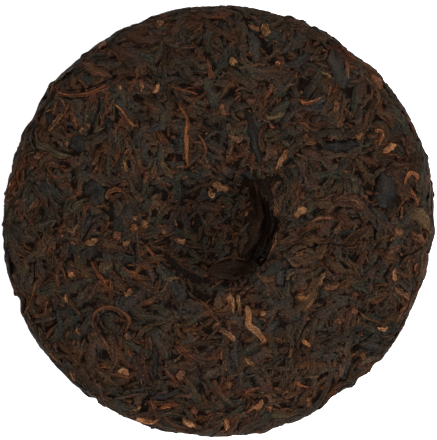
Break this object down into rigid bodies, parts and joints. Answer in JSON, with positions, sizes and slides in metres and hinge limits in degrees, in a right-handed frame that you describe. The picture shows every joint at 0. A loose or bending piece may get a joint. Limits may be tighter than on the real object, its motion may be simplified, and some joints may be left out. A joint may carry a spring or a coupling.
{
  "type": "pressed ripe tea cake",
  "caption": "Round thick disc of dark fermented tea leaf pressed into one piece, slightly domed underneath, with a cloth-knot hollow in its back facing up.",
  "frame": {"origin": "under the middle of the cake, on the plane that its domed face rests on", "axes": "+Z up through the thickness of the cake, out of the back that has the hollow; +X to the right in the picture and +Y up in it"},
  "size_m": [0.1994, 0.2012, 0.0262],
  "materials": {
    "leaf": "dry pressed tea leaf, near-black to warm brown with some red-brown and golden strips, matt to faintly waxy"
  },
  "bodies": {
    "root": {"tea_cake": "leaf"}
  },
  "joints": []
}
